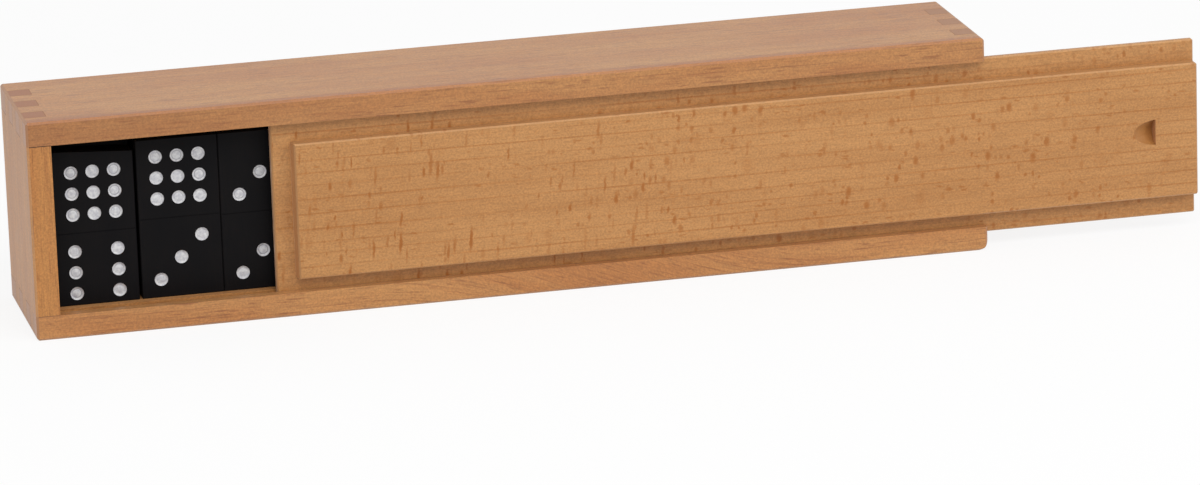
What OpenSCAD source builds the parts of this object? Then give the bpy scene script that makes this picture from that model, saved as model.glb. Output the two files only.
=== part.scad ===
// Box with a sliding lid for a set of double-nine dominoes, standing on one of
// its long sides with the lid towards the front and partly drawn out.
// Millimetres. X runs along the box, and the lid is drawn towards +X.
// The lid's side is -Y, and +Z is up. The origin is the centre of the resting face.

/* [Dominoes] */
// Width of a domino
tile_w = 22.2; // [18:0.1:26]
// Length of a domino
tile_l = 44; // [38:0.5:52]
// Thickness of a domino
tile_t = 6.9; // [5:0.1:9]
// Small chamfer on every edge of a domino
tile_ease = 0.2; // [0.1:0.1:0.8]
// Free space between neighbouring dominoes
tile_gap = 0.1; // [0.05:0.05:0.3]
// Stacks of dominoes side by side along the box
columns = 11; // [4:1:11]
// Dominoes on top of each other in a full stack
layers = 5; // [3:1:5]
// Dominoes of the set that have been taken out of the box
taken_out = 7; // [0:1:20]
// How much shorter the first domino's blank was cut
first_short = 1.2; // [0:0.1:2]
// How much more its right side lacks, because the cut runs askew
first_slant = 1.4; // [0:0.1:2]
// How far the first domino's numbers sit below those of a regular one
first_drop = 2; // [0:0.1:2.2]
// How far the third domino's numbers sit below those of a regular one
third_drop = 0.5; // [0:0.1:1.5]
// How much farther apart the second domino's two numbers are
second_spread = 0.6; // [0:0.1:1]
// Play between the left end and the first stack
first_play = 0.7; // [0.1:0.05:1]
// Wider gap between the first stack and the second
second_play = 0.75; // [0.1:0.05:1.5]

/* [Pips] */
// Diameter of a pip
pip_d = 3.7; // [3:0.1:4.4]
// Depth of a pip
pip_depth = 0.5; // [0.2:0.1:1]
// Distance between neighbouring pips
pip_pitch = 5.8; // [4.8:0.1:5.9]
// Distance between the middles of a domino's two number fields
field_pitch = 21.8; // [18.5:0.1:23]
// Width of the line scored between the two fields
score_w = 0.3; // [0.2:0.1:1]
// Depth of the line scored between the two fields
score_depth = 0.15; // [0.1:0.05:0.5]

/* [Box] */
// Thickness of the long sides
wall = 6.6; // [5:0.1:9]
// Thickness of the ends
end_wall = 6.5; // [5:0.1:9]
// Thickness of the floor board
floor_t = 3; // [2:0.5:4]
// Spare length inside the box beside the full stacks
spare_l = 5.7; // [2:0.1:10]
// Spare height inside the box above the dominoes' ends
spare_h = 2.8; // [1:0.1:6]
// Free depth between the drawn-in lid and the top dominoes
headspace = 2.2; // [0.5:0.1:5]
// Rounding of the upper long corner at the end where the lid leaves
top_r = 1.2; // [1:0.1:4]
// Rounding of the lower long corner at that end
foot_r = 2.8; // [1:0.1:4]
// Small chamfer on the other outer edges
ease = 0.6; // [0.2:0.1:1]
// How much wider the corner joint's last segment is, beside the floor board
back_extra = 2.7; // [0:0.1:4]
// How deep the floor board is let into the sides and ends
rebate = 3.4; // [2:0.1:4]
// Corner radius of the floor board and of its rebate
rebate_r = 4; // [2:0.5:6]
// Gap round the floor board
board_gap = 0.1; // [0.05:0.05:0.3]

/* [Lid] */
// How far the lid is drawn out
lid_open = 60.5; // [0:0.5:150]
// Thickness of the lid's thin edge, which runs in the grooves
tongue_t = 2.7; // [2.4:0.1:4]
// Thickness of the lid's raised field
panel_t = 3.4; // [3:0.1:5]
// Width of the thin edge above and below the raised field
ledge = 5.9; // [4:0.1:8]
// Width of the thin edge at the end that goes in last
end_ledge = 5.2; // [4:0.1:8]
// How far the raised field's end leans towards the field
panel_lean = 0.5; // [0.1:0.1:1]
// Rounding of the raised field's two corners at the lid's other end
panel_r = 0.8; // [0.5:0.1:2]
// Thickness of wood left in front of the grooves
lip = 2.8; // [2:0.1:4]
// Depth of the grooves in the sides
groove_d = 2.3; // [1.5:0.1:3]
// How far the lid reaches into the upper groove while it rests in the lower one
lid_bite = 0.3; // [0.2:0.05:0.8]
// Clearance between the lid and the bottom of the lower groove
lid_rest = 0.1; // [0.05:0.05:0.3]
// Running clearance on each face of the thin edge
lid_gap = 0.15; // [0.1:0.05:0.4]
// Depth of the left end's groove, which takes the closed lid
end_groove_d = 1.35; // [1:0.05:2]
// Clearance between the closed lid and the bottom of that groove
end_play = 0.3; // [0.1:0.05:0.6]
// Small chamfer on the lid's edges
lid_ease = 0.4; // [0.2:0.1:0.6]
// Rounding of the lid's two long edges at the back
lid_round = 1.2; // [0.8:0.1:1.6]

/* [Thumb notch] */
// Length of the notch along the lid
notch_l = 6.3; // [4:0.1:10]
// Width of the notch at its straight end
notch_w = 7.3; // [5:0.1:12]
// Depth of the notch at its straight end
notch_depth = 3.4; // [1:0.1:4]
// Distance from the straight end to the end of the lid
notch_inset = 12.1; // [8:0.1:20]

/* [Hidden] */
$fn = 48;
// Cutters reach this far past the faces that they cut
past = 1;

// The thin edge's groove and the finger in front make up the first joint segment
groove_w = tongue_t + 2 * lid_gap;
front_seg = lip + groove_w;

// Outer size of the box: 264 long, 46 deep and 60 high with the values above
box_l = 2 * end_wall + columns * (tile_w + tile_gap) + spare_l;
box_h = 2 * wall + tile_l + spare_h;
box_d = front_seg + headspace + layers * (tile_t + tile_gap) + floor_t;

left_x = -box_l / 2;
right_x = box_l / 2;
front_y = -box_d / 2;
back_y = box_d / 2;
floor_y = back_y - floor_t;
groove_y = front_y + lip;
groove_back_y = front_y + front_seg;

// Behind the first segment, the corner joints have six more, and every second
// one is a finger of the end. All but the last one are equal.
rear_segs = 6;
seg = (box_d - front_seg - back_extra) / rear_segs;

// The lid ends flush with the box when it is pushed home, and it rests low
lid_left_x = left_x + end_wall - end_groove_d + end_play;
lid_foot_z = wall - groove_d + lid_rest;
lid_l = right_x - lid_left_x;
lid_w = box_h - wall + lid_bite - lid_foot_z;
lid_y = groove_y + lid_gap;
panel_l = lid_l - end_ledge;
panel_w = lid_w - 2 * ledge;

// The notch is cut by a sloping round cutter that runs out at its left tip
notch_slope = atan(notch_depth / notch_l);
cutter_depth = notch_depth * cos(notch_slope);
notch_r = (pow(notch_w / 2, 2) + pow(cutter_depth, 2)) / (2 * cutter_depth);

// The set, from 9-9 down to 0-0, and the three dominoes that lie in sight
most_pips = 9;
SET = [for (a = [most_pips:-1:0]) for (b = [a:-1:0]) [a, b]];
SEEN = [[9, 6], [9, 3], [3, 3]];
STOCK = [for (d = SET) if (len([for (s = SEEN) if (s == d) s]) == 0) d];
in_box = len(SET) - taken_out;

function stack_height(c) = max(0, min(layers, in_box - c * layers));
function lies_in_sight(c, k) = c < len(SEEN) && k == layers - 1;
function domino_at(c, k) =
    lies_in_sight(c, k) ? SEEN[c] : STOCK[c * layers + k - min(c, len(SEEN))];
function domino_name(d) = str("domino_", d[0], "_", d[1]);

SLOTS = [for (c = [0:columns - 1]) if (stack_height(c) > 0)
    for (k = [0:stack_height(c) - 1]) [c, k]];

// Middle of a stack along the box, and front face of a layer
function column_x(c) =
    left_x + end_wall + first_play + tile_w / 2 + c * (tile_w + tile_gap)
    + (c > 0 ? second_play - tile_gap : 0);
function layer_y(k) = floor_y - (k + 1) * (tile_t + tile_gap);

// Outline of a rectangle with chamfered corners, from [0, 0] to size
module eased_outline(size, e) {
    polygon([
        [e, 0], [size[0] - e, 0], [size[0], e], [size[0], size[1] - e],
        [size[0] - e, size[1]], [e, size[1]], [0, size[1] - e], [0, e]]);
}

// Block with all edges chamfered, from the origin to size
module eased_block(size, e) {
    intersection() {
        linear_extrude(size[2]) eased_outline([size[0], size[1]], e);
        translate([0, size[1], 0]) rotate([90, 0, 0])
            linear_extrude(size[1]) eased_outline([size[0], size[2]], e);
        rotate([90, 0, 90])
            linear_extrude(size[0]) eased_outline([size[1], size[2]], e);
    }
}

// What a square corner loses when it is rounded, with the corner at the origin
module corner_waste(r) {
    difference() {
        translate([-past, -past]) square(r + past);
        translate([r, r]) circle(r);
    }
}

// The whole box as one block, with its edges as they are sanded after gluing
module outer_block() {
    difference() {
        translate([left_x, front_y, 0]) eased_block([box_l, box_d, box_h], ease);
        for (upper = [0, 1])
            translate([right_x, back_y + past, upper * box_h])
                rotate([90, 0, 0]) mirror([1, 0]) mirror([0, upper])
                    linear_extrude(box_d + 2 * past)
                        corner_waste(upper == 1 ? top_r : foot_r);
    }
}

// The room that is routed for the floor board after the frame is glued
module board_shape(gap) {
    l = box_l - 2 * (end_wall - rebate + gap);
    h = box_h - 2 * (wall - rebate + gap);
    r = rebate_r - gap;
    translate([-l / 2, box_h / 2 - h / 2]) difference() {
        square([l, h]);
        for (x = [0, 1]) for (y = [0, 1])
            translate([x * l, y * h]) mirror([x, 0]) mirror([0, y]) corner_waste(r);
    }
}

module board_room() {
    translate([0, back_y + past, 0]) rotate([90, 0, 0])
        linear_extrude(floor_t + past) board_shape(0);
}

// The slots in a side that take the three fingers of one end
module finger_slots(x) {
    for (i = [0:2:rear_segs - 1])
        translate([x, groove_back_y + i * seg, -past])
            cube([end_wall + past, seg, wall + 2 * past]);
}

// One long side, lying at the bottom; the upper one is its mirror image but for
// the rounding of its corner
module side() {
    difference() {
        translate([left_x, front_y, 0]) cube([box_l, box_d, wall]);
        finger_slots(left_x - past);
        finger_slots(right_x - end_wall);
        translate([left_x + end_wall - end_groove_d, groove_y, wall - groove_d])
            cube([box_l, groove_w, groove_d + past]);
        board_room();
    }
}

module lower_side() {
    color("#bb8455") intersection() {
        outer_block();
        side();
    }
}

module upper_side() {
    color("#c19e82") intersection() {
        outer_block();
        translate([0, 0, box_h]) mirror([0, 0, 1]) side();
    }
}

// An end's slab with its three fingers at the top and three at the bottom
module end_slab(x, y) {
    translate([x, y, wall]) cube([end_wall, back_y - y, box_h - 2 * wall]);
    for (i = [0:2:rear_segs - 1])
        translate([x, groove_back_y + i * seg, 0]) cube([end_wall, seg, box_h]);
}

// The left end reaches the front, and the lid's end slips into its groove
module left_end() {
    color("#ba9678") intersection() {
        outer_block();
        difference() {
            end_slab(left_x, front_y);
            translate([left_x + end_wall - end_groove_d, groove_y, wall - past])
                cube([end_groove_d + past, groove_w, box_h - 2 * wall + 2 * past]);
            board_room();
        }
    }
}

// The right end stops short of the front, so that the lid passes over it
module right_end() {
    color("#ba9678") intersection() {
        outer_block();
        difference() {
            end_slab(right_x - end_wall, groove_back_y);
            board_room();
        }
    }
}

module floor_board() {
    color("#cda97c") translate([0, back_y, 0]) rotate([90, 0, 0])
        linear_extrude(floor_t) board_shape(board_gap);
}

// The thumb pushes against the straight end of this notch
module thumb_notch() {
    translate([lid_l - notch_inset, 0, lid_w / 2]) intersection() {
        translate([-2 * notch_l, -past, -notch_w])
            cube([2 * notch_l, notch_depth + 2 * past, 2 * notch_w]);
        translate([-notch_l, 0, 0]) rotate([0, 0, notch_slope])
            translate([-notch_l, -notch_r, 0]) rotate([0, 90, 0])
                cylinder(h = 4 * notch_l, r = notch_r);
    }
}

// The lid's thin edge and what lies behind the raised field, in one thickness
module tongue() {
    difference() {
        translate([0, panel_t, 0]) eased_block([lid_l, tongue_t, lid_w], lid_ease);
        for (upper = [0, 1])
            translate([-past, panel_t + tongue_t, upper * lid_w]) rotate([90, 0, 90])
                linear_extrude(lid_l + 2 * past)
                    mirror([1, 0]) mirror([0, upper]) corner_waste(lid_round);
    }
}

// The raised field, which leans at one end and is rounded at the other one
module panel() {
    translate([end_ledge, 0, ledge]) difference() {
        eased_block([panel_l, panel_t + 2 * lid_ease, panel_w], lid_ease);
        translate([0, 0, -past]) linear_extrude(panel_w + 2 * past) polygon([
            [-past, panel_t], [0, panel_t], [panel_lean, lid_ease],
            [panel_lean + lid_ease, 0], [panel_lean + lid_ease, -past], [-past, -past]]);
        for (upper = [0, 1])
            translate([panel_l, panel_t, upper * panel_w]) rotate([90, 0, 0])
                linear_extrude(panel_t + past)
                    mirror([1, 0]) mirror([0, upper]) corner_waste(panel_r);
    }
}

// A thin board that runs in the grooves, with a thicker field in front of it
module lid() {
    color("#c1925f") translate([lid_left_x + lid_open, lid_y - panel_t, lid_foot_z])
        difference() {
            union() {
                tongue();
                panel();
            }
            thumb_notch();
        }
}

// Whether a field that counts v has a pip in column i and row j, each -1 to 1
function has_pip(v, i, j) =
    i == 0 && j == 0 ? v % 2 == 1
    : i == j ? v >= 2
    : i == -j ? v >= 4
    : j == 0 ? v >= 6
    : v >= 8;

// The pips of one field, as cutters that enter the face at y = 0
module pips(v) {
    for (i = [-1:1]) for (j = [-1:1]) if (has_pip(v, i, j))
        translate([i * pip_pitch, -past, j * pip_pitch]) rotate([-90, 0, 0])
            cylinder(h = past + pip_depth, d = pip_d);
}

// What the askew cut takes off the top of a domino that is length long
module slant_waste(length, slant) {
    translate([0, tile_t + past, 0]) rotate([90, 0, 0])
        linear_extrude(tile_t + 2 * past) polygon([
            [-tile_w / 2, length], [tile_w / 2, length - slant],
            [tile_w / 2 + past, length - slant], [tile_w / 2 + past, length + past],
            [-tile_w / 2, length + past]]);
}

// A domino that stands on end with its face towards -Y, its foot at the origin
module domino(values, short, slant, drop, spread) {
    middle = tile_l / 2 - drop;
    field_z = (field_pitch + spread) / 2;
    difference() {
        translate([-tile_w / 2, 0, 0])
            eased_block([tile_w, tile_t, tile_l - short], tile_ease);
        if (slant > 0) slant_waste(tile_l - short, slant);
        translate([0, 0, middle + field_z]) pips(values[0]);
        translate([0, 0, middle - field_z]) pips(values[1]);
        translate([-tile_w, -past, middle - score_w / 2])
            cube([2 * tile_w, past + score_depth, score_w]);
    }
}

// The domino in column c and layer k, where layer 0 lies on the floor board.
// The three in sight aren't quite regular.
module placed_domino(c, k) {
    sight = lies_in_sight(c, k);
    first = sight && c == 0;
    color("#1c1b1c") translate([column_x(c), layer_y(k), wall])
        domino(domino_at(c, k), first ? first_short : 0, first ? first_slant : 0,
            first ? first_drop : sight && c == 2 ? third_drop : 0,
            sight && c == 1 ? second_spread : 0);
}

upper_side();
lower_side();
left_end();
right_end();
floor_board();
lid();
for (s = SLOTS)
    placed_domino(s[0], s[1]);
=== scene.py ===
import math
import random

import bpy
from mathutils import Matrix, Vector


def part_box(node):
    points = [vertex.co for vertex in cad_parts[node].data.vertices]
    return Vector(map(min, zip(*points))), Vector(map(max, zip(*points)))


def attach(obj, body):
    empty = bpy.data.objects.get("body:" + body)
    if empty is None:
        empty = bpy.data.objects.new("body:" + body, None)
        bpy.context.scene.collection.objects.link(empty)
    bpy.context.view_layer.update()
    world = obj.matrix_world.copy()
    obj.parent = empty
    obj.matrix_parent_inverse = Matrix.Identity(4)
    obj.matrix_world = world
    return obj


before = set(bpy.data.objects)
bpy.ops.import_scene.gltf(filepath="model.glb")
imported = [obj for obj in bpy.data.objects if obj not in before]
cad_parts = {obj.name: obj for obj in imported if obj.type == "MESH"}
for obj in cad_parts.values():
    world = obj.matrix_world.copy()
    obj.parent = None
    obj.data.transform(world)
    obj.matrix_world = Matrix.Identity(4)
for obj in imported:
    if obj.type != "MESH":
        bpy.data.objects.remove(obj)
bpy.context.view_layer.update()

MM = 0.001

# The camera: where it stands in metres, its angles in degrees, its focal length for a
# picture of that width in pixels, and the near and far ends of what it sees, in metres
IMAGE_WIDTH = 1200
CAMERA_AT = (-0.3688, -1.7504, 0.5057)
YAW, PITCH, ROLL = 12.768, 15.558, -1.958
FOCAL_PIXELS = 6781
SENSOR = 36.0
CLIP_NEAR, CLIP_FAR = 0.05, 50

# The box, in millimetres: its outer size, its walls, its corner joints and its edges
LENGTH, DEPTH, HEIGHT = 264.0, 46.0, 60.0
SIDE_WALL, END_WALL = 6.6, 6.5
FRONT_SEGMENT, BACK_EXTRA = 5.8, 2.7
JOINT_SEGMENTS = 6
EASE, TOP_ROUND, FOOT_ROUND = 0.6, 1.2, 2.8

# Where along y the colour changes, in millimetres, each from one number to the other: a
# board is darker towards its front, painted shade darkens the top towards its front edge,
# and the end grain of the lid's raised field goes over to that further back
FRONT_BAND = (-17.5, -22.5)
BROW_SHADE_BAND = (-18.5, -22.0)
FIELD_BAND = (-20.5, -20.0)

# The light: how strong it is from all round, and each lamp's place, aim and size in
# metres and its power in watts
AMBIENT = 0.62
KEY_LAMP = ((-0.05, -1.5, 1.65), (0, 0, 0.03), 1.3, 22)
FILL_LAMP = ((1.4, -1.2, 0.9), (0.05, 0, 0.03), 1.0, 9)

# The floor: half its width in metres, its own grey, and how much of plain white the
# camera sees in its stead
FLOOR_HALF, FLOOR_GREY, FLOOR_WHITE = 6.0, 0.90, 0.84

# The pips, in millimetres, and how the dominoes in sight differ from a regular one:
# how far their numbers sit lower, and how much farther apart these are
PIP_PITCH, FIELD_PITCH = 5.8, 21.8
PIP_DEPTH = 0.5
HALF_DOMINO = 22.0
ODD_DOMINOES = {"domino_9_6": (2.0, 0.0), "domino_9_3": (0.0, 0.6), "domino_3_3": (0.5, 0.0)}


def srgb(red, green, blue):
    """A colour given as 0 to 255, as the linear colour that a shader takes."""
    def linear(v):
        v /= 255
        return v / 12.92 if v <= 0.04045 else ((v + 0.055) / 1.055) ** 2.4
    return (linear(red), linear(green), linear(blue), 1.0)


# The colour of the painted highlight on edges, and of the painted shade at the top's front edge
EDGE_HIGHLIGHT_COLOUR, BROW_SHADE_COLOUR = srgb(232, 190, 146), srgb(150, 76, 18)


class Nodes:
    """The nodes of one material or world. Most calls add some and return their output."""

    def __init__(self, owner):
        self.owner = owner
        owner.use_nodes = True
        self.tree = owner.node_tree
        self.tree.nodes.clear()

    def add(self, kind, inputs, **settings):
        """A node whose inputs are linked to a socket or set to a value."""
        node = self.tree.nodes.new(kind)
        for key, value in settings.items():
            setattr(node, key, value)
        for key, value in inputs.items():
            if isinstance(value, bpy.types.NodeSocket):
                self.tree.links.new(value, node.inputs[key])
            else:
                node.inputs[key].default_value = value
        return node

    def math(self, operation, a, b=0.0, c=0.0):
        inputs = {0: a, 1: b, 2: c}
        return self.add("ShaderNodeMath", inputs, operation=operation).outputs[0]

    def grey(self, value):
        return self.add("ShaderNodeCombineColor", {0: value, 1: value, 2: value}).outputs[0]

    def vector(self, operation, a, b=(0, 0, 0), c=(0, 0, 0)):
        node = self.add("ShaderNodeVectorMath", {0: a, 1: b, 2: c}, operation=operation)
        return node.outputs["Value" if operation == "DOT_PRODUCT" else "Vector"]

    def band(self, value, start, end, low=0.0, high=1.0):
        """Goes smoothly from low to high while the value goes from start to end."""
        inputs = {"Value": value, "From Min": start, "From Max": end,
                  "To Min": low, "To Max": high}
        node = self.add("ShaderNodeMapRange", inputs, interpolation_type="SMOOTHSTEP")
        return node.outputs["Result"]

    def mix(self, factor, a, b, blend="MIX"):
        node = self.add("ShaderNodeMix", {0: factor, 6: a, 7: b}, data_type="RGBA",
                        blend_type=blend)
        return node.outputs[2]

    def noise(self, vector, size, detail=2.0, roughness=0.5):
        """Noise whose features are about size millimetres, one number per axis."""
        scaled = self.vector("DIVIDE", vector, size)
        inputs = {"Vector": scaled, "Scale": 1.0, "Detail": detail, "Roughness": roughness}
        return self.add("ShaderNodeTexNoise", inputs).outputs[0]

    def wobble(self, vector, size, reach):
        """The vector, moved about by up to half of reach, with waves of about size."""
        scaled = self.vector("DIVIDE", vector, size)
        inputs = {"Vector": scaled, "Scale": 1.0, "Detail": 2.0}
        wave = self.add("ShaderNodeTexNoise", inputs).outputs["Color"]
        moved = self.vector("MULTIPLY", self.vector("SUBTRACT", wave, (0.5, 0.5, 0.5)), reach)
        return self.vector("ADD", vector, moved)

    def flecks(self, vector, size, share, crowd):
        """Scattered spindles of about size, in that share of the places, 0 to 1."""
        scaled = self.vector("DIVIDE", vector, size)
        node = self.add("ShaderNodeTexVoronoi", {"Vector": scaled, "Scale": 1.0})
        own = self.add("ShaderNodeSeparateColor", {0: node.outputs["Color"]}).outputs
        radius = self.math("MULTIPLY_ADD", own[1], 0.24, 0.20)
        shape = self.band(self.math("DIVIDE", node.outputs["Distance"], radius), 1.1, 0.35)
        chosen = self.band(own[0], 1.0 - share, 1.12 - share)
        dense = self.band(self.noise(vector, crowd), 0.36, 0.60)
        return self.math("MULTIPLY", self.math("MULTIPLY", shape, chosen), dense)

    def position(self):
        """The place on the part, in millimetres."""
        place = self.add("ShaderNodeTexCoord", {}).outputs["Object"]
        return self.vector("DIVIDE", place, (MM, MM, MM))

    def bump(self, height, depth):
        """Relief from a height of 0 to 1, depth in millimetres."""
        inputs = {"Height": height, "Distance": depth * MM, "Strength": 1.0}
        return self.add("ShaderNodeBump", inputs).outputs[0]

    def surface(self, inputs):
        shader = self.add("ShaderNodeBsdfPrincipled", inputs)
        self.add("ShaderNodeOutputMaterial", {"Surface": shader.outputs[0]})
        return self.owner

    def looked_at(self):
        """1 where the camera looks, straight or by a reflection or through glass, else 0."""
        rays = self.add("ShaderNodeLightPath", {}).outputs
        either = self.math("MAXIMUM", rays["Is Glossy Ray"], rays["Is Transmission Ray"])
        return self.math("MAXIMUM", rays["Is Camera Ray"], either)


def new_material(name):
    return Nodes(bpy.data.materials.new(name))


def board_space(n, grain, rays, turn, shift, veer):
    """Millimetres with x along the grain and y along the rays, turned about the grain.

    Veer is for a board whose grain runs aslant for a part of its length: where that
    begins, where it ends, and how far the grain comes down.
    """
    across = 3 - grain - rays
    split = n.add("ShaderNodeSeparateXYZ", {0: n.position()}).outputs
    ordered = {0: split[grain], 1: split[rays], 2: split[across]}
    if veer:
        start, end, fall = veer
        drop = n.band(split[grain], start, end, 0.0, fall)
        ordered[2] = n.math("ADD", split[across], drop)
    board = n.add("ShaderNodeCombineXYZ", ordered).outputs[0]
    turned = n.add("ShaderNodeVectorRotate", {"Vector": board, "Angle": math.radians(turn)},
                   rotation_type="X_AXIS").outputs[0]
    return n.vector("ADD", turned, shift)


def cuts(n, grain):
    """How far the surface slopes across the grain, cuts right across it, and is an edge."""
    normal = n.add("ShaderNodeTexCoord", {}).outputs["Normal"]
    parts = n.add("ShaderNodeSeparateXYZ", {0: normal}).outputs
    along = [n.math("ABSOLUTE", part) for part in parts]
    facing = along[grain]
    most = n.math("MAXIMUM", along[0], n.math("MAXIMUM", along[1], along[2]))
    least = n.math("MINIMUM", along[0], n.math("MINIMUM", along[1], along[2]))
    edge = n.math("MULTIPLY", n.band(most, 0.86, 0.78), n.band(least, 0.12, 0.06))
    return n.band(facing, 0.05, 0.35), n.band(facing, 0.75, 0.95), edge


def growth_lines(n, board, ring, waver):
    """Thin lines along the grain, about ring millimetres apart: 1 on a line, 0 beside it."""
    across = n.add("ShaderNodeSeparateXYZ", {0: board}).outputs[1]
    bend = n.math("MULTIPLY", n.noise(board, (260, 60, 60), 1.5), waver)
    spacing = n.math("MULTIPLY", n.noise(board, (900, 13, 40), 1.0), 1.3)
    phase = n.math("ADD", n.math("DIVIDE", across, ring), n.math("ADD", bend, spacing))
    growth = n.math("FRACT", phase)
    line = n.math("MULTIPLY", n.band(growth, 0.80, 0.93), n.band(growth, 1.0, 0.95))
    return n.math("MULTIPLY", line, n.band(n.noise(board, (60, 5, 5)), 0.38, 0.62, 0.25, 1.0))


def front_tones(n, colour, place, fleck, darker_front, brow_shade):
    """The colour, darker towards the board's front, and darkened by painted shade at the top's
    front edge.
    """
    # Darker towards the board's front, most towards its left end.
    if darker_front:
        first, last, share = darker_front
        near = n.math("MULTIPLY", n.band(place[1], *FRONT_BAND, 0.0, share),
                      n.band(place[0], last, first, 0.4, 1.0))
        colour = n.mix(near, colour, fleck)
    # Painted shade: the top's upward faces darken towards its front edge.
    if brow_shade:
        normal = n.add("ShaderNodeTexCoord", {}).outputs["Normal"]
        upwards = n.add("ShaderNodeSeparateXYZ", {0: normal}).outputs[2]
        near = n.math("MULTIPLY", n.band(place[1], *BROW_SHADE_BAND, 0.0, brow_shade),
                      n.band(upwards, 0.3, 0.7))
        colour = n.mix(near, colour, BROW_SHADE_COLOUR)
    return colour


def ray_flecks(n, board, place, spots, lean, ragged):
    """How strongly a fleck of any of the spots shows, from 0 to 1."""
    loose = n.wobble(board, (2.0, 1.3, 1.2), ragged)
    if lean:
        loose = n.add("ShaderNodeVectorRotate", {"Vector": loose, "Angle": math.radians(lean)},
                      rotation_type="Z_AXIS").outputs[0]
    marks = 0.0
    for size, share, strength, crowd, *reach in spots:
        spot = n.math("MULTIPLY", n.flecks(loose, size, share, crowd), strength)
        if reach:
            spot = n.math("MULTIPLY", spot, n.band(place[0], *reach))
        marks = n.math("MAXIMUM", marks, spot)
    return marks


def beech(name, grain, rays, turn, shift, pale, deep, fleck, end, spots, ring, waver,
          ring_share, streaks, grit, edge_highlight, gloss=0.60, darker_front=None, back_end_grain=None, ramp=None,
          lean=0, veer=None, ragged=(0.6, 0.5, 0.4), brow_shade=0.0):
    """Lacquered beech: thin growth lines, fine fibres and the flecks of its rays.

    Each of the spots is a size in millimetres, a share, a strength, the size of the
    crowds in which such flecks stand together and, for some, where along the board they
    begin and where they are full. The edge highlight is how much paler the edges are
    painted, a painted highlight. The darker front is for a board that is darker towards
    its front: where most, where least, and how much. The back end grain is a colour of
    its own for the end grain further back than the lid's raised field. Ramp is the
    colour of a slope across the grain. Lean is how far the flecks lean, in degrees.
    Ragged is how far their outlines stray, in millimetres. The brow shade is how much
    painted shade darkens the top where it nears the front.
    """
    n = new_material(name)
    board = board_space(n, grain, rays, turn, shift, veer)
    slope, cut, edge = cuts(n, grain)
    place = n.add("ShaderNodeSeparateXYZ", {0: n.position()}).outputs
    line = growth_lines(n, board, ring, waver)
    cloud = n.noise(board, (60, 9, 9), 3.0, 0.6)
    fibres = n.noise(board, (6.0, 0.30, 0.30), 4.0, 0.65)
    mottle = n.noise(board, (0.60, 0.55, 0.6), 2.0, 0.7)

    colour = n.mix(n.band(cloud, 0.30, 0.72), pale, deep)
    colour = front_tones(n, colour, place, fleck, darker_front, brow_shade)
    colour = n.mix(n.math("MULTIPLY", line, ring_share), colour, fleck)
    for size, share, low in streaks:
        strip = n.noise(board, size, 3.0, 0.6)
        colour = n.mix(n.math("MULTIPLY", n.band(strip, low, low + 0.18), share), colour, fleck)
    colour = n.mix(1.0, colour, n.grey(n.band(fibres, 0.28, 0.72, 0.91, 1.08)), "MULTIPLY")
    speckle = n.grey(n.band(mottle, 0.28, 0.72, 1.0 - grit, 1.0 + grit))
    colour = n.mix(1.0, colour, speckle, "MULTIPLY")

    marks = ray_flecks(n, board, place, spots, lean, ragged)
    colour = n.mix(marks, colour, fleck)

    pores = n.noise(board, (3.0, 0.35, 0.22), 3.0, 0.7)
    speckled = n.mix(n.band(pores, 0.35, 0.65), n.mix(0.25, end, fleck), end)
    # A lighter colour of its own for the end grain further back than the lid's raised field.
    if back_end_grain:
        speckled = n.mix(n.band(place[1], *FIELD_BAND), speckled, back_end_grain)
    sloped = ramp or n.mix(0.5, end, fleck)
    colour = n.mix(n.math("MULTIPLY", slope, 0.75), colour, sloped)
    colour = n.mix(cut, colour, speckled)
    # Painted highlight: the edges are made paler.
    colour = n.mix(n.math("MULTIPLY", edge, edge_highlight), colour, EDGE_HIGHLIGHT_COLOUR)

    relief = n.math("SUBTRACT", fibres, n.math("MULTIPLY", marks, 0.3))
    inputs = {
        "Base Color": colour,
        "Roughness": n.band(fibres, 0.25, 0.75, 0.40, 0.52),
        "Specular IOR Level": gloss,
        "Sheen Weight": 0.08,
        "Sheen Roughness": 0.4,
        "Normal": n.bump(relief, 0.012),
    }
    return n.surface(inputs)


def stained_wood():
    """Black stain on fine wood, whose brown shows faintly along the grain."""
    n = new_material("black_stain")
    place = n.position()
    fibres = n.noise(place, (0.3, 0.3, 7.0), 4.0, 0.65)
    patches = n.noise(place, (6, 6, 14), 3.0)
    tone = n.math("MULTIPLY", n.band(fibres, 0.35, 0.7), n.band(patches, 0.3, 0.7))
    inputs = {
        "Base Color": n.mix(tone, srgb(9, 8, 10), srgb(17, 14, 14)),
        "Roughness": n.band(fibres, 0.25, 0.75, 0.50, 0.66),
        "Specular IOR Level": 0.10,
        "Normal": n.bump(fibres, 0.010),
    }
    return n.surface(inputs)


def pip_paint():
    """White paint that was dabbed into the recesses, with a thin grey ring inside."""
    n = new_material("pip_paint")
    place = n.position()
    uneven = n.noise(place, (0.8, 0.8, 0.8), 3.0, 0.6)
    shade = n.noise(place, (1.6, 1.6, 1.6), 2.0)
    white = n.mix(n.band(uneven, 0.3, 0.7), srgb(176, 176, 182), srgb(207, 207, 207))
    own = n.add("ShaderNodeAttribute", {}, attribute_name="own").outputs["Fac"]
    reach = n.add("ShaderNodeAttribute", {}, attribute_name="reach").outputs["Fac"]
    reach = n.math("MULTIPLY_ADD", n.math("SUBTRACT", shade, 0.5), 0.16, reach)
    ring = n.math("MULTIPLY", n.band(reach, 0.58, 0.67), n.band(reach, 0.80, 0.70))
    ring = n.math("MULTIPLY", ring, n.band(n.math("ADD", own, shade), 0.6, 1.5, 0.05, 0.75))
    colour = n.mix(ring, white, srgb(112, 111, 118))
    inputs = {
        "Base Color": n.mix(n.band(reach, 0.97, 1.03, 0.0, 0.15), colour, srgb(96, 95, 100)),
        "Roughness": n.band(uneven, 0.2, 0.8, 0.38, 0.56),
        "Normal": n.bump(uneven, 0.02),
    }
    return n.surface(inputs)


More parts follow.
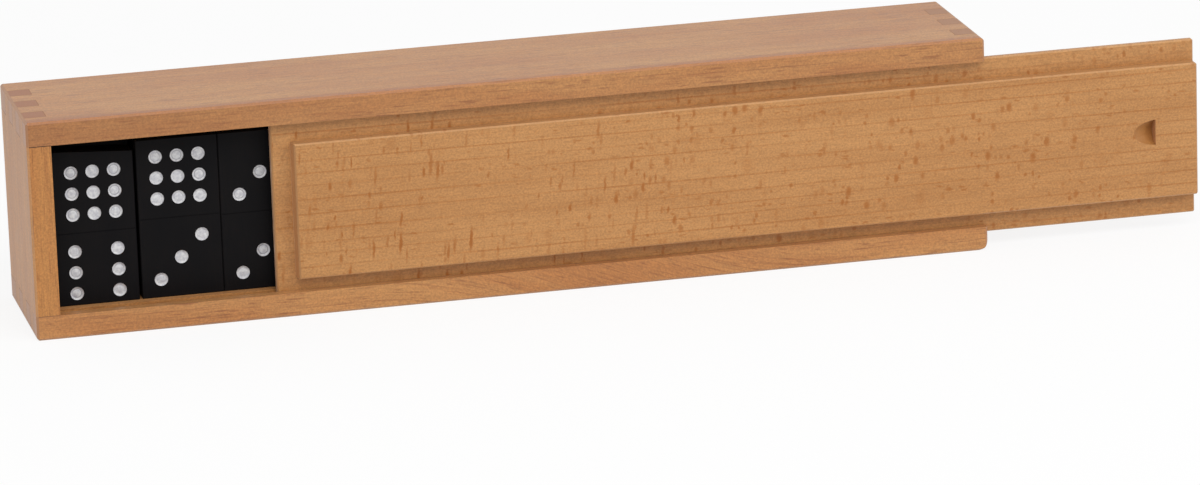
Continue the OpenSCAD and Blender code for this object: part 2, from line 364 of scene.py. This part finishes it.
def glue():
    """Dark in the open joint at the front, faint round the sanded fingers."""
    n = new_material("glue_line")
    place = n.position()
    dirt = n.noise(place, (4, 4, 4), 3.0)
    normal = n.add("ShaderNodeTexCoord", {}).outputs["Normal"]
    ahead = n.math("ABSOLUTE", n.vector("DOT_PRODUCT", normal, (0.0, 1.0, 0.0)))
    height = n.add("ShaderNodeSeparateXYZ", {0: place}).outputs[2]
    dark = n.math("MULTIPLY", n.band(ahead, 0.6, 0.9), n.band(height, 25.0, 35.0, 0.3, 1.0))
    faint = n.mix(dirt, srgb(126, 82, 48), srgb(160, 112, 74))
    inputs = {
        "Base Color": n.mix(dark, faint, srgb(58, 32, 16)),
        "Roughness": n.band(dirt, 0.3, 0.7, 0.6, 0.75),
    }
    return n.surface(inputs)


def plywood():
    """Thin birch board with the faint, wide figure of a peeled veneer."""
    n = new_material("birch_ply")
    place = n.position()
    drift = n.wobble(place, (120, 40, 26), (0.0, 0.0, 20.0))
    height = n.add("ShaderNodeSeparateXYZ", {0: drift}).outputs[2]
    growth = n.math("FRACT", n.math("DIVIDE", height, 7.5))
    line = n.math("MULTIPLY", n.band(growth, 0.55, 0.92), n.band(growth, 1.0, 0.94))
    line = n.math("MULTIPLY", line, n.band(n.noise(place, (50, 5, 5)), 0.3, 0.7, 0.15, 0.5))
    fibres = n.noise(place, (7.0, 0.4, 0.4), 4.0, 0.65)
    cloud = n.noise(place, (50, 20, 16), 3.0, 0.6)
    colour = n.mix(n.band(cloud, 0.3, 0.7), srgb(210, 168, 118), srgb(198, 153, 103))
    colour = n.mix(line, colour, srgb(172, 124, 78))
    colour = n.mix(1.0, colour, n.grey(n.band(fibres, 0.28, 0.72, 0.92, 1.06)), "MULTIPLY")
    pins = n.flecks(place, (3.0, 0.9, 0.9), 0.4, (20, 12, 12))
    colour = n.mix(n.math("MULTIPLY", pins, 0.5), colour, srgb(134, 92, 56))
    inputs = {
        "Base Color": colour,
        "Roughness": n.band(fibres, 0.25, 0.75, 0.55, 0.68),
        "Normal": n.bump(fibres, 0.02),
    }
    return n.surface(inputs)


def dress(name, material):
    """Gives a CAD piece its material."""
    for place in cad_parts[name].material_slots:
        place.material = material


def new_object(name, data):
    """An object of that mesh, lamp or camera, in the scene."""
    thing = bpy.data.objects.new(name, data)
    bpy.context.scene.collection.objects.link(thing)
    return thing


def new_mesh(name, vertices, faces, material):
    """An object from vertices in metres."""
    mesh = bpy.data.meshes.new(name)
    mesh.from_pydata(vertices, [], faces)
    mesh.materials.append(material)
    return new_object(name, mesh)


def new_piece(name, vertices, faces, material):
    """A mesh piece of the box, from vertices in millimetres."""
    piece = new_mesh(name, [Vector(v) * MM for v in vertices], faces, material)
    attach(piece, "box")
    return piece


def has_pip(value, i, j):
    """Whether a half with that many pips has one in column i and row j, each -1 to 1."""
    if i == 0 and j == 0:
        return value % 2 == 1
    if i == j:
        return value >= 2
    if i == -j:
        return value >= 4
    return value >= (6 if j == 0 else 8)


# Radius and height of the paint above the bottom of a recess, in millimetres, from its
# middle outwards, and in how many steps it goes round
PAINT_PROFILE = [(0.0, 0.13), (0.95, 0.12), (1.14, 0.04), (1.28, 0.04), (1.42, 0.14),
                 (1.68, 0.15), (1.82, 0.40)]
PAINT_STEPS = 28

# How far a pip's inner ring may be off the middle, in millimetres, and how full its recess
# may be, up to the radius at which the paint climbs the recess's wall
PAINT_OFF, PAINT_FILL, PAINT_SHORE = 0.1, (0.7, 1.25), 1.5


def paint_pip(vertices, faces, reach, own, centre, chance):
    """Adds one pip's paint. Its inner ring is a little off the middle, as if by hand.

    For each vertex, reach tells how far out it is, and own is one number per pip.
    """
    x, y, z = centre
    start = len(vertices)
    luck = chance.random()
    off_x, off_z = chance.uniform(-PAINT_OFF, PAINT_OFF), chance.uniform(-PAINT_OFF, PAINT_OFF)
    fill = chance.uniform(*PAINT_FILL)
    for radius, height in PAINT_PROFILE:
        inner = 1.0 - radius / PAINT_PROFILE[-1][0]
        for step in range(PAINT_STEPS):
            angle = 2 * math.pi * step / PAINT_STEPS
            vertices.append((x + off_x * inner + radius * math.cos(angle),
                             y - height * (fill if radius < PAINT_SHORE else 1.0),
                             z + off_z * inner + radius * math.sin(angle)))
            reach.append(1.0 - inner)
            own.append(luck)
    for ring in range(len(PAINT_PROFILE) - 1):
        for step in range(PAINT_STEPS):
            a = start + ring * PAINT_STEPS + step
            b = start + ring * PAINT_STEPS + (step + 1) % PAINT_STEPS
            faces.append((a, b, b + PAINT_STEPS, a + PAINT_STEPS))


def paint_domino(name, material):
    """The white paint in all the recesses of one domino."""
    low, high = (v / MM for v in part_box(name))
    drop, spread = ODD_DOMINOES.get(name, (0.0, 0.0))
    middle = Vector(((low.x + high.x) / 2, low.y + PIP_DEPTH, low.z + HALF_DOMINO - drop))
    field = (FIELD_PITCH + spread) / 2
    values = [int(v) for v in name.split("_")[1:]]
    chance = random.Random(name)
    vertices, faces, reach, own = [], [], [], []
    for value, side in zip(values, (1, -1)):
        for i in (-1, 0, 1):
            for j in (-1, 0, 1):
                if has_pip(value, i, j):
                    place = middle + Vector((i * PIP_PITCH, 0, side * field + j * PIP_PITCH))
                    paint_pip(vertices, faces, reach, own, place, chance)
    piece = new_piece("paint" + name.removeprefix("domino"), vertices, faces, material)
    for key, numbers in (("reach", reach), ("own", own)):
        piece.data.attributes.new(key, "FLOAT", "POINT").data.foreach_set("value", numbers)
    for polygon in piece.data.polygons:
        polygon.use_smooth = True


def ribbon(vertices, faces, start, end, across):
    """A thin strip from start to end, as wide as the vector across."""
    start, end, half = Vector(start), Vector(end), Vector(across) / 2
    first = len(vertices)
    vertices += [start - half, start + half, end + half, end - half]
    faces.append((first, first + 1, first + 2, first + 3))


def glue_lines(material):
    """The fine dark lines between the fingers of the corner joints, a little proud."""
    width, proud = 0.16, 0.012
    open_width = width * 1.3
    front, back = -DEPTH / 2, DEPTH / 2
    segment = (DEPTH - FRONT_SEGMENT - BACK_EXTRA) / JOINT_SEGMENTS
    marks = [front + FRONT_SEGMENT + i * segment for i in range(JOINT_SEGMENTS)]
    vertices, faces = [], []
    for side in (-1, 1):
        outer = side * LENGTH / 2
        inner = side * (LENGTH / 2 - END_WALL)
        outside = outer + side * proud
        for upper in (True, False):
            away = 1 if upper else -1
            edge = EASE if side < 0 else TOP_ROUND if upper else FOOT_ROUND
            z = HEIGHT if upper else 0.0
            face, inside = z + away * proud, z - away * SIDE_WALL
            rim, lip = outer - side * edge, z - away * edge
            for i, y in enumerate(marks):
                far = y + segment if i < JOINT_SEGMENTS - 1 else back - EASE
                if i % 2 == 0:
                    ribbon(vertices, faces, (inner, y, face), (inner, far, face), (width, 0, 0))
                else:
                    ribbon(vertices, faces, (outside, y, inside), (outside, far, inside),
                           (0, 0, width))
                ribbon(vertices, faces, (rim, y, face), (inner, y, face), (0, width, 0))
                ribbon(vertices, faces, (outside, y, lip), (outside, y, inside), (0, width, 0))
            if side < 0:
                ribbon(vertices, faces, (rim, front - proud, inside),
                       (inner, front - proud, inside), (0, 0, open_width))
    new_piece("glue_lines", vertices, faces, material)


def make_camera():
    yaw, pitch, roll = (math.radians(a) for a in (YAW, PITCH, ROLL))
    ahead = Vector((math.sin(yaw) * math.cos(pitch), math.cos(yaw) * math.cos(pitch),
                    -math.sin(pitch)))
    level = Vector((math.cos(yaw), -math.sin(yaw), 0))
    above = level.cross(ahead)
    right = level * math.cos(roll) + above * math.sin(roll)
    up = above * math.cos(roll) - level * math.sin(roll)
    data = bpy.data.cameras.new("camera")
    data.sensor_fit = "HORIZONTAL"
    data.sensor_width = SENSOR
    data.lens = SENSOR * FOCAL_PIXELS / IMAGE_WIDTH
    data.clip_start, data.clip_end = CLIP_NEAR, CLIP_FAR
    camera = new_object("camera", data)
    turn = Matrix((right, up, -ahead)).transposed().to_4x4()
    camera.matrix_world = Matrix.Translation(CAMERA_AT) @ turn
    bpy.context.scene.camera = camera


def softbox(name, place, aim, size, power):
    """A square area lamp at place that shines towards aim."""
    data = bpy.data.lights.new(name, "AREA")
    data.shape, data.size, data.energy = "SQUARE", size, power
    turn = (Vector(aim) - Vector(place)).to_track_quat("-Z", "Y").to_matrix().to_4x4()
    new_object(name, data).matrix_world = Matrix.Translation(place) @ turn


def make_world():
    """Soft light from all round, and plain white wherever the camera sees past the floor."""
    n = Nodes(bpy.data.worlds.new("studio"))
    brightness = {"Value": n.looked_at(), "To Min": AMBIENT, "To Max": 1.0}
    strength = n.add("ShaderNodeMapRange", brightness).outputs["Result"]
    glow = n.add("ShaderNodeBackground", {"Color": (1, 1, 1, 1), "Strength": strength})
    n.add("ShaderNodeOutputWorld", {"Surface": glow.outputs[0]})
    bpy.context.scene.world = n.owner


def make_floor():
    """A wide pale floor under the box, which the camera sees almost white."""
    n = new_material("pale_floor")
    grey = (FLOOR_GREY, FLOOR_GREY, FLOOR_GREY, 1)
    matt = n.add("ShaderNodeBsdfDiffuse", {"Color": grey}).outputs[0]
    white = n.add("ShaderNodeEmission", {"Color": (1, 1, 1, 1), "Strength": 1.0}).outputs[0]
    share = n.math("MULTIPLY", n.looked_at(), FLOOR_WHITE)
    blend = n.add("ShaderNodeMixShader", {0: share, 1: matt, 2: white})
    n.add("ShaderNodeOutputMaterial", {"Surface": blend.outputs[0]})
    corners = [(x * FLOOR_HALF, y * FLOOR_HALF, 0)
               for x, y in ((-1, -1), (1, -1), (1, 1), (-1, 1))]
    new_mesh("floor", corners, [(0, 1, 2, 3)], n.owner)


def dress_box():
    # Each board's edges are made paler by a painted highlight, and the upper side's top gets
    # painted shade towards its front edge.
    side = dict(
        grain=0, rays=1, turn=40, pale=srgb(180, 127, 72), deep=srgb(168, 110, 57),
        fleck=srgb(122, 68, 32), end=srgb(176, 122, 80), ring=3.2, waver=2.0, ring_share=0.10,
        streaks=[((30, 0.7, 0.7), 0.36, 0.54), ((12, 0.4, 0.4), 0.52, 0.53)],
        grit=0.17, edge_highlight=0.10,
        spots=[((10.0, 1.1, 0.9), 0.62, 0.62, (30, 8, 8)),
               ((4.5, 0.8, 0.8), 0.45, 0.55, (12, 6, 6))])
    dress("upper_side", beech("beech_upper", shift=(11, 3, 5), darker_front=(-115, -20, 0.40),
                              brow_shade=0.45, **side))
    dress("lower_side", beech("beech_lower", shift=(190, 47, 31), veer=(-40, 90, 36), **side))
    upright = dict(
        side, grain=2, rays=0, pale=srgb(187, 129, 68), deep=srgb(177, 117, 59),
        gloss=0.46, darker_front=(-115, -20, 0.19),
        spots=[((5.0, 1.2, 1.0), 0.30, 0.30, (20, 8, 8))], edge_highlight=0.2)
    left = dict(upright, end=srgb(151, 91, 45))
    right = dict(upright, end=srgb(156, 105, 62))
    dress("left_end", beech("beech_left", shift=(7, 91, 13), **left))
    dress("right_end", beech("beech_right", shift=(77, 29, 57), **right))
    dress("lid", beech(
        "beech_lid", grain=0, rays=2, turn=0, shift=(23, 1, 9),
        pale=srgb(180, 130, 78), deep=srgb(170, 119, 68), fleck=srgb(148, 82, 12),
        end=srgb(190, 136, 86), back_end_grain=srgb(206, 162, 122), ramp=srgb(155, 103, 51), ring=3.7,
        waver=1.0, ring_share=0.46, streaks=[((16, 0.5, 0.5), 0.16, 0.56)], grit=0.16,
        edge_highlight=0.16, gloss=0.40, lean=5, ragged=(0.9, 1.8, 0.6),
        spots=[((1.5, 10.0, 2.2), 0.60, 0.85, (14, 16, 10), 70, 10),
               ((1.8, 5.0, 2.6), 0.50, 0.80, (20, 13, 10), 130, 30),
               ((2.6, 4.6, 3.0), 0.66, 0.72, (24, 13, 10), 0, 60),
               ((1.8, 2.6, 2.0), 0.45, 0.65, (16, 9, 10), -50, 40),
               ((5.0, 8.0, 4.0), 0.35, 0.22, (40, 16, 12)),
               ((3.4, 1.1, 2.0), 0.40, 0.60, (20, 6, 10))]))
    dress("floor_board", plywood())


def dress_dominoes():
    stain, paint = stained_wood(), pip_paint()
    for name in sorted(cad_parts):
        if name.startswith("domino_"):
            dress(name, stain)
            paint_domino(name, paint)


bpy.context.scene.view_settings.view_transform = "Standard"
dress_box()
dress_dominoes()
glue_lines(glue())
make_camera()
make_world()
softbox("key", *KEY_LAMP)
softbox("fill", *FILL_LAMP)
make_floor()
